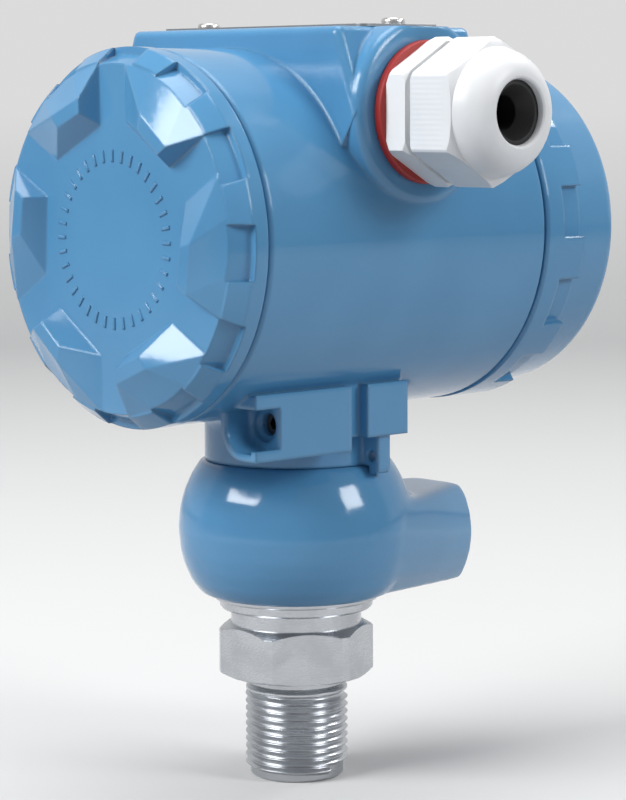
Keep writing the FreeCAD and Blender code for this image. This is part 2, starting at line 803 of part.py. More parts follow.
def make_lug():
    """One pinwheel lug about local +X, its foot on z = 0, leaning clockwise."""
    valley = math.radians(180 / lug_count)
    side_gap = valley_half_width / math.cos(valley)
    inner_half = lug_inner * math.tan(valley) - side_gap
    lug_rim = blind_rim_radius - lug_rim_inset
    rim_angle = 180 / lug_count - math.degrees(math.asin(valley_half_width / lug_rim))
    top_middle = Vector(lug_top_inner + lug_top_width / 2, -lug_top_clockwise + lug_top_length / 2, lug_height)
    top_turn = Rotation(Vector(0, 0, 1), -lug_top_turn)

    def top_corner(radial, tangential):
        return top_middle + top_turn.multVec(Vector(radial * lug_top_width / 2, tangential, 0))

    corners = {
        "inner_right": Vector(lug_inner - lug_lean, -inner_half, 0),
        "inner_left": Vector(lug_inner + lug_lean, inner_half, 0),
        "rim_left": polar(lug_rim, rim_angle),
        "rim_right": polar(lug_rim, -rim_angle),
        "edge_left": polar(lug_rim, lug_rim_half_angle),
        "edge_right": polar(lug_rim, -lug_rim_half_angle),
        "top_inner_right": top_corner(-1, -lug_top_length / 2),
        "top_inner_left": top_corner(-1, lug_top_length / 2),
        "top_outer_left": top_corner(1, lug_top_length / 2 + lug_top_spread),
        "top_outer_right": top_corner(1, -lug_top_length / 2 - lug_top_spread),
    }
    faces = [
        ("inner_right", "rim_right", "edge_right", "edge_left", "rim_left", "inner_left"),
        ("top_inner_right", "top_inner_left", "top_outer_left", "top_outer_right"),
        ("inner_right", "inner_left", "top_inner_left", "top_inner_right"),
        ("inner_right", "top_inner_right", "top_outer_right", "rim_right"),
        ("inner_left", "rim_left", "top_outer_left", "top_inner_left"),
        ("top_outer_right", "top_outer_left", "edge_left", "edge_right"),
        ("rim_right", "top_outer_right", "edge_right"),
        ("rim_left", "edge_left", "top_outer_left"),
    ]
    return faceted(corners, faces)


def make_front_cover():
    outline = cover_outline_inside(blind_disc_height - blind_disc_thickness)
    outline += [
        (cover_radius, blind_disc_height - blind_taper_length),
        (blind_rim_radius, blind_disc_height),
        (0, blind_disc_height),
        (0, blind_disc_height - blind_disc_thickness),
    ]
    cover = turned(outline)
    lug = placed(make_lug(), UP, z=blind_disc_height)
    cover = cover.fuse(around(lug, lug_count))
    recesses = make_recesses(front_land, blind_disc_height + lug_height, front_recess_turn, front_recess_lean)
    cover = cover.cut(recesses)
    return placed(cover, FRONT, y=-barrel_front, z=barrel_height)


def make_rear_cover():
    rim = rear_drum_radius - rear_drum_taper
    band_top = rear_land + rear_recess_length
    outline = cover_outline_inside(window_seat) + [
        (cover_radius, band_top),
        (rear_drum_radius, band_top),
        (rim, rear_depth),
        (window_opening + window_bevel, rear_depth),
        (window_opening, rear_depth - window_bevel),
        (window_opening, window_seat),
    ]
    cover = turned(outline)
    cover = rounded(cover, rear_rim_round, lambda edge: is_circle_at(edge, rear_depth, rim))
    cover = cover.cut(make_recesses(rear_land, band_top + 1, rear_recess_turn))
    return placed(cover, REAR, y=barrel_rear, z=barrel_height)


def make_cover_seal(facing, joint):
    seal = ring(mouth_radius - cover_seal_section, cover_seal_section - seat_gap, -cover_seal_seat)
    return placed(seal, facing, y=joint, z=barrel_height)


def make_window_gasket():
    gasket = tube(glass_radius, window_opening + face_gap, glass_outer_face, window_seat)
    return placed(gasket, REAR, y=barrel_rear, z=barrel_height)


def make_window_glass():
    glass = disc(glass_radius, glass_inner_face, glass_outer_face)
    return placed(glass, REAR, y=barrel_rear, z=barrel_height)


def make_window_ring():
    top = glass_inner_face
    low = top - window_ring_height
    blank = tube(spigot_inner - seat_gap, window_ring_bore, low, top)
    notch = box(window_ring_bore - 1, spigot_inner + 1, -window_ring_notch / 2, window_ring_notch / 2,
                low - 1, low + window_ring_height / 2)
    return placed(blank.cut(around(notch, 4)), REAR, y=barrel_rear, z=barrel_height)


# ---- Display compartment, modelled outward from the bulkhead's rear face

def in_display_room(shape):
    return placed(shape, REAR, y=bulkhead_rear, z=barrel_height)


def screw_spot(number, start):
    return polar(board_screw_circle, start + 120 * number)


def make_board_standoff(number):
    spot = screw_spot(number, 30)
    pillar = disc(standoff_radius, 0, board_standoff, spot.x, spot.y)
    stud = disc(small_screw_radius, -bulkhead_thickness / 2, 0, spot.x, spot.y)
    return in_display_room(pillar.fuse(stud)).cut(make_board_screw(number))


def make_board_screw(number):
    spot = screw_spot(number, 30)
    screw = pan_screw(small_screw_radius, small_screw_length, small_screw_head_radius, small_screw_head_height)
    return in_display_room(placed(screw, UP, spot.x, spot.y, board_top))


def make_display_standoff(number):
    spot = screw_spot(number, 90)
    pillar = disc(standoff_radius, board_top, display_back, spot.x, spot.y)
    stud = disc(small_screw_radius, board_standoff - 1, board_top, spot.x, spot.y)
    return in_display_room(pillar.fuse(stud)).cut(make_display_screw(number))


def make_display_screw(number):
    spot = screw_spot(number, 90)
    length = display_depth + small_screw_length
    screw = pan_screw(small_screw_radius, length, small_screw_head_radius, small_screw_head_height)
    return in_display_room(placed(screw, UP, spot.x, spot.y, display_front))


def each(make, count):
    return Part.makeCompound([make(number) for number in range(count)])


def chip(length, width, thickness, x, y):
    return box(x - length / 2, x + length / 2, y - width / 2, y + width / 2, board_top, board_top + thickness)


def make_electronics_board():
    board = disc(board_radius, board_standoff, board_top)
    chips = [
        chip(processor_side, processor_side, processor_thickness, -chip_offset, 0),
        chip(converter_length, converter_length, converter_thickness, chip_offset, -chip_offset / 2),
        chip(memory_side, memory_side, converter_thickness, chip_offset, chip_offset),
        chip(connector_length, connector_width, connector_height, 0, -2 * chip_offset),
    ]
    board = in_display_room(board.fuse(chips))
    screws = [make_board_screw(number) for number in range(3)]
    studs = [make_display_standoff(number) for number in range(3)]
    return board.cut(screws + studs)


def make_display_module():
    shell = disc(display_radius, display_back, display_front)
    shell = rounded(shell, 1.0, lambda edge: is_circle_at(edge, display_front, display_radius))
    room_width = display_window_width + 2 * display_glass_margin
    room_height = display_window_height + 2 * display_glass_margin
    room = box(-room_width / 2, room_width / 2, -room_height / 2, room_height / 2,
               display_back - 1, display_front - display_wall)
    window = box(-display_window_width / 2, display_window_width / 2,
                 -display_window_height / 2, display_window_height / 2, display_back, display_front + 1)
    shell = in_display_room(shell.cut([room, window]))
    return shell.cut([make_display_screw(number) for number in range(3)])


def make_display_glass():
    width = display_window_width + 2 * display_glass_margin - 2 * face_gap
    height = display_window_height + 2 * display_glass_margin - 2 * face_gap
    top = display_front - display_wall
    glass = box(-width / 2, width / 2, -height / 2, height / 2, top - display_glass_thickness, top)
    return in_display_room(glass)


# ---- Terminal compartment, modelled outward from the bulkhead's front face

def in_terminal_room(shape, x=0.0, height=0.0):
    return placed(shape, FRONT, x=x, y=bulkhead_front, z=height)


def terminal_spots():
    first = -terminal_pitch * (terminal_count - 1) / 2
    return [first + terminal_pitch * number for number in range(terminal_count)]


def make_terminal_mount_screw(side):
    screw = pan_screw(small_screw_radius, terminal_depth - terminal_step + bulkhead_thickness / 2,
                      small_screw_head_radius, small_screw_head_height)
    spot = placed(screw, UP, side * terminal_mount_spacing / 2, terminal_height / 4, terminal_depth - terminal_step)
    return in_terminal_room(spot, height=terminal_middle)


def make_terminal_screw(number):
    screw = pan_screw(terminal_screw_radius, terminal_screw_length, terminal_head_radius, terminal_head_height)
    spot = placed(screw, UP, terminal_spots()[number], terminal_height / 4, terminal_depth - terminal_step)
    return in_terminal_room(spot, height=terminal_middle)


def make_terminal_block():
    half = terminal_width / 2
    block = box(-half, half, -terminal_height / 2, terminal_height / 2, 0, terminal_depth)
    step = box(-half - 1, half + 1, 0, terminal_height, terminal_depth - terminal_step, terminal_depth + 1)
    ribs = []
    for number in range(terminal_count + 1):
        middle = terminal_spots()[0] + terminal_pitch * (number - 0.5)
        ribs.append(box(middle - terminal_rib / 2, middle + terminal_rib / 2, -1, terminal_height / 2,
                        terminal_depth - terminal_step, terminal_depth))
    block = in_terminal_room(block.cut(step).fuse(ribs).removeSplitter(), height=terminal_middle)
    screws = [make_terminal_screw(number) for number in range(terminal_count)]
    screws += [make_terminal_mount_screw(side) for side in (-1, 1)]
    return block.cut(screws)


def make_inner_ground_screw():
    screw = pan_screw(ground_screw_radius, bulkhead_thickness - 1, ground_head_radius, ground_head_height)
    return in_terminal_room(screw, ground_screw_x, barrel_height - ground_screw_drop)


def make_outer_ground_screw():
    length = ground_screw_length + ground_washer_thickness
    screw = pan_screw(ground_screw_radius, length, ground_head_radius, ground_head_height)
    return placed(screw, LEFT, x=-bracket_face - ground_washer_thickness, y=outer_ground_y, z=outer_ground_z)


def make_outer_ground_washer():
    washer = disc(ground_washer_radius, 0, ground_washer_thickness)
    washer = placed(washer, LEFT, x=-bracket_face, y=outer_ground_y, z=outer_ground_z)
    return washer.cut(make_outer_ground_screw())


# ---- Cable gland and blanking plug, modelled outward from a conduit entry's face

def at_gland(shape):
    return placed(shape, RIGHT, x=entry_face, y=entry_axis, z=entry_height)


def at_plug(shape):
    return placed(shape, LEFT, x=-entry_face, y=entry_axis, z=entry_height)


def bevelled_hexagon(across_flats, low, high, bevel):
    """Hexagonal prism whose corners are turned down at both ends."""
    corner = across_flats / math.sqrt(3)
    bar = turned([(0, low), (corner - bevel, low), (corner, low + bevel),
                  (corner, high - bevel), (corner - bevel, high), (0, high)])
    return hexagon(across_flats, low, high).common(bar)


def make_gland_washer():
    return at_gland(tube(gland_washer_radius, entry_thread_radius + seat_gap, 0, gland_washer_thickness))


def make_gland_body():
    core = turned([
        (gland_seat_bore, -gland_shank_length),
        (entry_thread_radius, -gland_shank_length),
        (entry_thread_radius, gland_washer_thickness),
        (gland_waist_radius, gland_washer_thickness),
        (gland_waist_radius, gland_barrel_foot),
        (gland_barrel_radius, gland_barrel_foot),
        (gland_barrel_radius, gland_barrel_top),
        (gland_finger_radius, gland_barrel_top),
        (gland_finger_radius, gland_barrel_top + gland_finger_length),
        (gland_shank_bore, gland_barrel_top + gland_finger_length),
        (gland_shank_bore, gland_seat_height),
        (gland_seat_bore, gland_seat_height),
    ])
    grip = bevelled_hexagon(gland_across_flats, gland_washer_thickness, gland_hex_top, 0.8)
    grip = grip.cut(disc(gland_shank_bore + 1, 0, gland_hex_top + 1))
    slot = box(0, 2 * gland_finger_radius, -gland_finger_slot / 2, gland_finger_slot / 2,
               gland_barrel_top + 0.4, gland_barrel_top + gland_finger_length + 1)
    body = core.fuse(grip).removeSplitter().cut(around(slot, gland_finger_count))
    return at_gland(body)


def make_gland_seal():
    top = gland_nut_top - gland_nut_lip - seat_gap
    seal = turned([
        (gland_seal_bore, gland_seat_height),
        (gland_seal_radius, gland_seat_height),
        (gland_seal_radius, top),
        (gland_seal_mouth, top),
        (gland_seal_bore, top - gland_seal_mouth_depth),
    ])
    return at_gland(seal)


def make_gland_nut():
    corner = gland_across_flats / math.sqrt(3)
    hex_top = gland_nut_foot + gland_nut_hex_height
    dome_height = gland_nut_top - hex_top
    start = Vector(corner, 0, hex_top)
    end = Vector(gland_nut_nose_radius, 0, gland_nut_top)
    turn = math.radians(45)
    middle = Vector(gland_nut_nose_radius + (corner - gland_nut_nose_radius) * math.cos(turn), 0,
                    hex_top + dome_height * math.sin(turn))
    dome_side = Part.Arc(start, middle, end).toShape()
    rest = Part.makePolygon([end, Vector(0, 0, gland_nut_top), Vector(0, 0, gland_nut_foot),
                             Vector(corner - 0.6, 0, gland_nut_foot),
                             Vector(corner, 0, gland_nut_foot + 0.6), start])
    dome = Part.Face(Part.Wire([dome_side] + rest.Edges)).revolve(Vector(), Vector(0, 0, 1), 360)
    nut = dome.common(hexagon(gland_across_flats, gland_nut_foot, gland_nut_top))
    thread_top = gland_nut_foot + gland_nut_thread
    throat_top = thread_top + gland_nut_throat_depth
    lip_foot = gland_nut_top - gland_nut_lip
    cavity = turned([
        (0, gland_nut_foot - 1),
        (gland_barrel_radius + running_gap, gland_nut_foot - 1),
        (gland_barrel_radius + running_gap, thread_top),
        (gland_nut_throat, thread_top),
        (gland_nut_throat, throat_top),
        (gland_seal_radius + face_gap, throat_top + 0.6),
        (gland_seal_radius + face_gap, lip_foot),
        (gland_nut_hole, lip_foot),
        (gland_nut_hole, gland_nut_top + 1),
        (0, gland_nut_top + 1),
    ])
    return at_gland(nut.cut(cavity))


def make_blanking_plug():
    plug = turned([
        (0, -plug_shank_length),
        (entry_thread_radius, -plug_shank_length),
        (entry_thread_radius, 0),
        (plug_head_radius, 0),
        (plug_head_radius, plug_head_height - 0.8),
        (plug_head_radius - 0.8, plug_head_height),
        (0, plug_head_height),
    ])
    socket = hexagon(plug_key_across_flats, plug_head_height - plug_key_depth, plug_head_height + 1)
    groove = ring(plug_seal_radius, plug_seal_section, plug_seal_section)
    groove = groove.fuse(tube(plug_seal_radius + plug_seal_section, plug_seal_radius - plug_seal_section,
                              -0.5, plug_seal_section))
    return at_plug(plug.cut([socket, groove]))


def make_blanking_plug_seal():
    seal = ring(plug_seal_radius, plug_seal_section - seat_gap, plug_seal_section)
    return at_plug(seal)


# ---- Every piece under its own name

pieces = {
    "process_connection": make_process_connection,
    "sensor_capsule": make_sensor_capsule,
    "sensor_seal": make_sensor_seal,
    "sensor_lock_ring": make_sensor_lock_ring,
    "sensor_head": make_sensor_head,
    "neck_seal": make_neck_seal,
    "housing_body": make_housing_body,
    "housing_lock_screw": make_housing_lock_screw,
    "cover_lock_screws": make_cover_lock_screws,
    "nameplate": make_nameplate,
    "nameplate_screws": lambda: Part.makeCompound([make_plate_screw(side) for side in (-1, 1)]),
    "front_cover": make_front_cover,
    "front_cover_seal": lambda: make_cover_seal(FRONT, -barrel_front),
    "rear_cover": make_rear_cover,
    "rear_cover_seal": lambda: make_cover_seal(REAR, barrel_rear),
    "window_gasket": make_window_gasket,
    "window_glass": make_window_glass,
    "window_ring": make_window_ring,
    "board_standoffs": lambda: each(make_board_standoff, 3),
    "board_screws": lambda: each(make_board_screw, 3),
    "electronics_board": make_electronics_board,
    "display_standoffs": lambda: each(make_display_standoff, 3),
    "display_screws": lambda: each(make_display_screw, 3),
    "display_module": make_display_module,
    "display_glass": make_display_glass,
    "terminal_block": make_terminal_block,
    "terminal_screws": lambda: each(make_terminal_screw, terminal_count),
    "terminal_mount_screws": lambda: Part.makeCompound([make_terminal_mount_screw(side) for side in (-1, 1)]),
    "inner_ground_screw": make_inner_ground_screw,
    "outer_ground_screw": make_outer_ground_screw,
    "outer_ground_washer": make_outer_ground_washer,
    "gland_washer": make_gland_washer,
    "gland_body": make_gland_body,
    "gland_seal": make_gland_seal,
    "gland_nut": make_gland_nut,
    "blanking_plug": make_blanking_plug,
    "blanking_plug_seal": make_blanking_plug_seal,
}

os.makedirs("parts", exist_ok=True)
for name, make in pieces.items():
    save(make(), name)
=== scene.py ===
import math

import bmesh
import bpy
from mathutils import Matrix, Vector


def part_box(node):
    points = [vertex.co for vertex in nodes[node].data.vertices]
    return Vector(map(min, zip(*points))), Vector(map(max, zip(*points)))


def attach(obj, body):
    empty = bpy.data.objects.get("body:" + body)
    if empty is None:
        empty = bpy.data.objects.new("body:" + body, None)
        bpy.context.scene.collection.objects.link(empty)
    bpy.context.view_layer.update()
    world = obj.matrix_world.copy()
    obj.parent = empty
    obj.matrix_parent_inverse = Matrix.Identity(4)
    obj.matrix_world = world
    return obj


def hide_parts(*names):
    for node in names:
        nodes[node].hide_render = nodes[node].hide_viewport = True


# Pressure transmitter, dressed: procedural finishes for every solid, four solids shown by a
# finer piece, a ring of raised ticks on the blind cover, and a plain studio. Pieces are
# given in millimetres and stored in metres. The thread axis is Z and the gland's axis is X.

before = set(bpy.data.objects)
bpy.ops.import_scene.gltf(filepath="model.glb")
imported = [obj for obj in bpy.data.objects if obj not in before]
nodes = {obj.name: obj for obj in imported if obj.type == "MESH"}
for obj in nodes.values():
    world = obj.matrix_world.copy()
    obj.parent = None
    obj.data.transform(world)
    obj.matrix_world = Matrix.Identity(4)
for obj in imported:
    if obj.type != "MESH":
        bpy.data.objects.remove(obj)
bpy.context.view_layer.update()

MM = 0.001
FULL_TURN = 2 * math.pi
solid_crease = 30


# ---- Shader building

class Value:
    """A socket that takes part in arithmetic with numbers and other sockets."""

    def __init__(self, finish, socket):
        self.finish = finish
        self.socket = socket

    def maths(self, operation, *terms):
        return self.finish.node("ShaderNodeMath", {"operation": operation}, dict(enumerate(terms)))

    def __add__(self, other):
        return self.maths("ADD", self, other)

    def __sub__(self, other):
        return self.maths("SUBTRACT", self, other)

    def __rsub__(self, other):
        return self.maths("SUBTRACT", other, self)

    def __mul__(self, other):
        return self.maths("MULTIPLY", self, other)

    __radd__ = __add__
    __rmul__ = __mul__

    def sine(self):
        return self.maths("SINE", self)


class Finish:
    """One procedural material, built around a Principled shader."""

    def __init__(self, name, **fixed):
        self.material = bpy.data.materials.new(name)
        self.material.use_nodes = True
        self.tree = self.material.node_tree
        self.tree.nodes.clear()
        self.shader = self.tree.nodes.new("ShaderNodeBsdfPrincipled")
        self.output = self.tree.nodes.new("ShaderNodeOutputMaterial")
        self.tree.links.new(self.shader.outputs[0], self.output.inputs[0])
        self.place = self.node("ShaderNodeTexCoord", output="Object")
        for key, value in fixed.items():
            self.put(key.replace("_", " "), value)

    def feed(self, socket, value):
        """Link a value to a socket, or set a number or colour on it."""
        if isinstance(value, Value):
            self.tree.links.new(value.socket, socket)
        elif hasattr(socket.default_value, "__len__") and len(socket.default_value) == 4:
            socket.default_value = (*value[:3], 1.0)
        else:
            socket.default_value = value

    def put(self, key, value):
        """Feed one input of the Principled shader."""
        self.feed(self.shader.inputs[key], value)

    def node(self, kind, settings=None, inputs=None, output=0):
        """Add any node: its settings come first, then what its sockets hold or are linked to."""
        made = self.tree.nodes.new(kind)
        for key, value in (settings or {}).items():
            if key == "stops":
                while len(made.color_ramp.elements) < len(value):
                    made.color_ramp.elements.new(1.0)
                for stop, (position, shade) in zip(made.color_ramp.elements, value):
                    stop.position = position
                    stop.color = (shade, shade, shade, 1.0)
            else:
                setattr(made, key, value)
        for key, value in (inputs or {}).items():
            self.feed(made.inputs[key], value)
        return Value(self, made.outputs[output])

    def noise(self, size, detail=3.0, place=None):
        """Cloudy pattern from 0 to 1 whose blots are about this many metres across."""
        inputs = {"Vector": place or self.place, "Scale": 1 / size, "Detail": detail,
                  "Roughness": 0.55}
        return self.node("ShaderNodeTexNoise", inputs=inputs)

    def stretched(self, x, y, z):
        """Object coordinates scaled along each axis."""
        return self.node("ShaderNodeMapping", inputs={"Vector": self.place, "Scale": (x, y, z)})

    def along(self, axis):
        """One object coordinate, with 0, 1 and 2 for X, Y and Z."""
        return self.node("ShaderNodeSeparateXYZ", inputs={0: self.place}, output=axis)

    def ramp(self, value, *stops):
        return self.node("ShaderNodeValToRGB", {"stops": stops}, {0: value})

    def mixed(self, share, first, second):
        """Colour between two, by a share from 0 to 1."""
        inputs = {0: share, 6: first, 7: second}
        return self.node("ShaderNodeMix", {"data_type": "RGBA"}, inputs, output=2)

    def cover(self, share, other):
        """Lay another shader over the Principled one."""
        bare = Value(self, self.shader.outputs[0])
        mix = self.node("ShaderNodeMixShader", inputs={0: share, 1: bare, 2: other})
        self.tree.links.new(mix.socket, self.output.inputs[0])

    def relief(self, height, depth, edge):
        """Bump of this many metres, over edges that are softened by a radius."""
        soft_edge = self.node("ShaderNodeBevel", {"samples": 6}, {"Radius": edge})
        inputs = {"Height": height, "Distance": depth, "Strength": 1.0, "Normal": soft_edge}
        self.put("Normal", self.node("ShaderNodeBump", inputs=inputs))


def toned(colour, factor):
    """A colour made darker or lighter, at most white."""
    return [min(1.0, part * factor) for part in colour]


# ---- Finishes, with every size in metres

deep_blue = (0.074, 0.240, 0.435)
light_blue = (0.088, 0.270, 0.478)


def enamel(name, edge):
    """Baked powder coat on a casting: faint orange peel, slow drift of shade."""
    paint = Finish(name, IOR=1.5)
    drift = paint.ramp(paint.noise(0.03, 2.0), (0.35, 0.0), (0.65, 1.0))
    speck = paint.noise(0.0009, 2.0)
    worn = paint.ramp(speck, (0.66, 0.0), (0.8, 1.0))
    shade = paint.mixed(drift, deep_blue, light_blue)
    paint.put("Base Color", paint.mixed(worn * 0.10, shade, toned(light_blue, 1.6)))
    paint.put("Roughness", 0.08 + paint.noise(0.012) * 0.05 + speck * 0.03)
    paint.relief(paint.noise(0.0016, 1.0) + speck * 0.2, 0.000012, edge)
    return paint.material


def turned_metal(name, colour, roughness):
    """Lathe-turned metal: fine rings along Z with slight stains."""
    metal = Finish(name, Metallic=1.0)
    rings = metal.noise(1.0, 3.0, metal.stretched(30, 30, 4000))
    stain = metal.noise(0.006)
    stained = metal.ramp(stain, (0.4, 0.0), (0.75, 1.0))
    metal.put("Base Color", metal.mixed(stained, colour, toned(colour, 0.82)))
    metal.put("Roughness", roughness + rings * 0.10 + stain * 0.06)
    metal.relief(rings, 0.000004, 0.0002)
    return metal.material


def machined_metal(name, colour, roughness):
    """Small milled or plated parts, with a fine even grain."""
    metal = Finish(name, Metallic=1.0)
    grit = metal.noise(0.0004)
    smear = metal.noise(0.004)
    smeared = metal.ramp(smear, (0.35, 0.0), (0.7, 1.0))
    metal.put("Base Color", metal.mixed(smeared, colour, toned(colour, 0.85)))
    metal.put("Roughness", roughness + grit * 0.1 + smear * 0.08)
    metal.relief(grit, 0.000008, 0.00015)
    return metal.material


def moulded(name, colour, roughness, tint=0.9, ribs=0.0):
    """Moulded plastic or rubber with a fine matt skin.

    Where a spacing is given, fine ribs run along X, as far as rib_end.
    """
    rib_end = 0.050
    skin = Finish(name, IOR=1.48)
    cloud = skin.ramp(skin.noise(0.008), (0.35, 0.0), (0.7, 1.0))
    grit = skin.noise(0.0005, 2.0)
    skin.put("Base Color", skin.mixed(cloud, colour, toned(colour, tint)))
    skin.put("Roughness", roughness + grit * 0.14)
    height = grit
    if ribs:
        waves = (skin.along(2) * (FULL_TURN / ribs)).sine() * 0.5 + 0.5
        ribbed = skin.ramp(skin.along(0) * 10, (10 * rib_end - 0.01, 1.0),
                           (10 * rib_end + 0.02, 0.0))
        height = grit * 0.3 + waves * ribbed * 0.8
    skin.relief(height, 0.00002, 0.0003)
    return skin.material


def brushed_plate(name, colour):
    """Thin plate brushed along X."""
    metal = Finish(name, Metallic=1.0)
    brush = metal.noise(1.0, 4.0, metal.stretched(60, 5000, 5000))
    smear = metal.noise(0.007)
    metal.put("Base Color", metal.mixed(brush, colour, toned(colour, 0.8)))
    metal.put("Roughness", 0.28 + brush * 0.22 + smear * 0.06)
    metal.relief(brush, 0.000006, 0.00012)
    return metal.material


def clear_glass(name):
    """Clear glass with a trace of dust."""
    glass = Finish(name, IOR=1.5, Transmission_Weight=1.0)
    dust = glass.ramp(glass.noise(0.005, 5.0), (0.5, 0.0), (0.9, 1.0))
    glass.put("Base Color", glass.mixed(dust, (0.97, 0.99, 0.99), (0.9, 0.93, 0.93)))
    glass.put("Roughness", dust * 0.12)
    return glass.material


def printed_board(name):
    """Green solder mask with pads in a fine grid."""
    board = Finish(name, IOR=1.5)
    grid = {"Vector": board.stretched(300, 300, 300), "Scale": 1.0, "Mortar Size": 0.08}
    tracks = board.node("ShaderNodeTexBrick", inputs=grid, output="Fac")
    board.put("Base Color", board.mixed(tracks * 0.5, (0.01, 0.09, 0.035), (0.03, 0.17, 0.06)))
    board.put("Roughness", 0.3 + board.noise(0.004) * 0.2)
    return board.material


blue_enamel = enamel("blue_enamel", edge=0.0007)
housing_enamel = enamel("housing_enamel", edge=0.0011)
head_enamel = enamel("head_enamel", edge=0.0004)
turned_steel = turned_metal("turned_steel", (0.53, 0.55, 0.58), 0.20)
screw_steel = machined_metal("screw_steel", (0.7, 0.69, 0.67), 0.2)
dark_steel = machined_metal("dark_steel", (0.1, 0.1, 0.11), 0.4)
ring_metal = machined_metal("ring_metal", (0.66, 0.67, 0.69), 0.32)
brass = machined_metal("brass", (0.72, 0.52, 0.24), 0.26)
plug_metal = machined_metal("plug_metal", (0.62, 0.61, 0.6), 0.26)
plate_metal = brushed_plate("plate_metal", (0.36, 0.37, 0.38))
black_rubber = moulded("black_rubber", (0.008, 0.008, 0.009), 0.5)
red_rubber = moulded("red_rubber", (0.34, 0.02, 0.016), 0.42)
ribbed_nylon = moulded("ribbed_nylon", (0.74, 0.75, 0.76), 0.3, tint=0.95, ribs=0.0009)
pale_nylon = moulded("pale_nylon", (0.78, 0.79, 0.79), 0.36, tint=0.95)
black_nylon = moulded("black_nylon", (0.03, 0.03, 0.034), 0.45)
panel_plastic = moulded("panel_plastic", (0.35, 0.4, 0.3), 0.2)
board_green = printed_board("board_green")
window = clear_glass("window")

finishes = {
    housing_enamel: ("housing_body",),
    blue_enamel: ("front_cover", "rear_cover", "sensor_head"),
    turned_steel: ("process_connection", "sensor_capsule", "sensor_lock_ring"),
    screw_steel: ("nameplate_screws", "board_screws", "display_screws", "terminal_screws",
                  "terminal_mount_screws", "inner_ground_screw", "outer_ground_screw",
                  "outer_ground_washer"),
    dark_steel: ("housing_lock_screw", "cover_lock_screws"),
    ring_metal: ("window_ring",),
    brass: ("board_standoffs", "display_standoffs"),
    plug_metal: ("blanking_plug",),
    plate_metal: ("nameplate",),
    black_rubber: ("sensor_seal", "neck_seal", "front_cover_seal", "rear_cover_seal",
                   "window_gasket", "gland_seal", "blanking_plug_seal"),
    red_rubber: ("gland_washer",),
    pale_nylon: ("gland_body", "gland_nut"),
    black_nylon: ("display_module", "terminal_block"),
    panel_plastic: ("display_glass",),
    board_green: ("electronics_board",),
    window: ("window_glass",),
}
for material, names in finishes.items():
    for name in names:
        nodes[name].data.materials.clear()
        nodes[name].data.materials.append(material)
        nodes[name].data.shade_smooth()
        nodes[name].data.set_sharp_from_angle(angle=math.radians(solid_crease))


# ---- Building pieces

def spun(outline, steps=120):
    """Turned shape about Z from (radius, height) corners, closed unless it meets the axis."""
    shape = bmesh.new()
    points = [shape.verts.new((radius * MM, 0, height * MM)) for radius, height in outline]
    ends = [] if outline[0][0] == outline[-1][0] == 0 else points[:1]
    edges = [shape.edges.new(pair) for pair in zip(points, points[1:] + ends)]
    bmesh.ops.spin(shape, geom=points + edges, cent=(0, 0, 0), axis=(0, 0, 1), angle=FULL_TURN,
                   steps=steps, use_merge=True)
    bmesh.ops.remove_doubles(shape, verts=shape.verts, dist=1e-7)
    bmesh.ops.dissolve_degenerate(shape, edges=shape.edges, dist=1e-7)
    bmesh.ops.recalc_face_normals(shape, faces=shape.faces)
    return shape


def rotated(shape, degrees, axis):
    """Turn a shape about an axis through the origin."""
    turn = Matrix.Rotation(math.radians(degrees), 3, axis)
    bmesh.ops.rotate(shape, verts=shape.verts, matrix=turn)
    return shape


def carried(shape, x, y, z):
    """Move a shape by a way in millimetres."""
    bmesh.ops.translate(shape, verts=shape.verts, vec=Vector((x, y, z)) * MM)
    return shape


def hexagonal_bar(across_flats, low, high, turn, corner_flat):
    """Six-sided bar along Z whose long corners are broken by a flat of the given width."""
    reach = across_flats / math.sqrt(3) * MM
    shape = bmesh.new()
    bmesh.ops.create_cone(shape, cap_ends=True, segments=6, radius1=reach, radius2=reach,
                          depth=(high - low) * MM)
    rotated(carried(shape, 0, 0, (low + high) / 2), turn, "Z")
    uprights = [edge for edge in shape.edges
                if abs(edge.verts[0].co.z - edge.verts[1].co.z) > MM]
    bmesh.ops.bevel(shape, geom=uprights, affect="EDGES", offset=corner_flat / math.sqrt(3) * MM,
                    segments=1, profile=0.5, material=-1)
    return shape


def held(name, shape):
    """Turn a bmesh into an object."""
    mesh = bpy.data.meshes.new(name)
    shape.to_mesh(mesh)
    shape.free()
    piece = bpy.data.objects.new(name, mesh)
    bpy.context.scene.collection.objects.link(piece)
    return piece


def worked(shape, kind, **settings):
    """Put a shape through one modifier; a bmesh among its settings is the other body."""
    piece = held("blank", shape)
    spares = [piece]
    modifier = piece.modifiers.new(kind, kind)
    for key, value in settings.items():
        if isinstance(value, bmesh.types.BMesh):
            value = held("other", value)
            spares.append(value)
        setattr(modifier, key, value)
    result = bmesh.new()
    result.from_object(piece, bpy.context.evaluated_depsgraph_get())
    for spare in spares:
        mesh = spare.data
        bpy.data.objects.remove(spare)
        bpy.data.meshes.remove(mesh)
    return result


def kept_inside(shape, other):
    return worked(shape, "BOOLEAN", operation="INTERSECT", solver="EXACT", object=other)


def cut(shape, other):
    return worked(shape, "BOOLEAN", operation="DIFFERENCE", solver="EXACT", object=other)


def eased(shape, verts, passes):
    """Smooth some of a shape's vertices a number of times."""
    for _ in range(passes):
        bmesh.ops.smooth_vert(shape, verts=verts, factor=0.5, use_axis_x=True, use_axis_y=True,
                              use_axis_z=True)


def joined(*shapes):
    """Collect several closed shapes into one."""
    whole = bmesh.new()
    for shape in shapes:
        mesh = bpy.data.meshes.new("part")
        shape.to_mesh(mesh)
        shape.free()
        whole.from_mesh(mesh)
        bpy.data.meshes.remove(mesh)
    return whole


